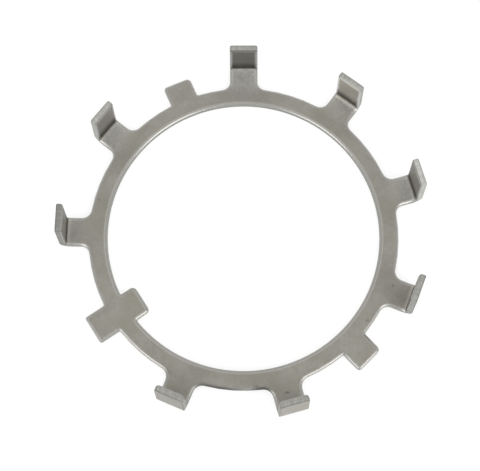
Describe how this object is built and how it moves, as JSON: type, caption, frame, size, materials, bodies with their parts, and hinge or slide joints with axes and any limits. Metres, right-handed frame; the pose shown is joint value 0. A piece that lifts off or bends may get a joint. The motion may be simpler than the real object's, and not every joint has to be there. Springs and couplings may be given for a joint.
{
  "type": "spindle lock nut washer",
  "caption": "Flat ring washer of stamped steel with an inner key, tabs bent up from its rim to lock a nut, and short flat tabs.",
  "frame": {"origin": "centre of the bore, on the lower face, which the washer lies on", "axes": "+Z along the bore, the way the bent tabs rise; the key is on the -Y side, and YZ is the plane of symmetry"},
  "size_m": [0.0664, 0.0663, 0.012],
  "materials": {
    "steel": "matte cold-rolled sheet"
  },
  "bodies": {
    "root": {"lock_washer": "steel"}
  },
  "joints": []
}
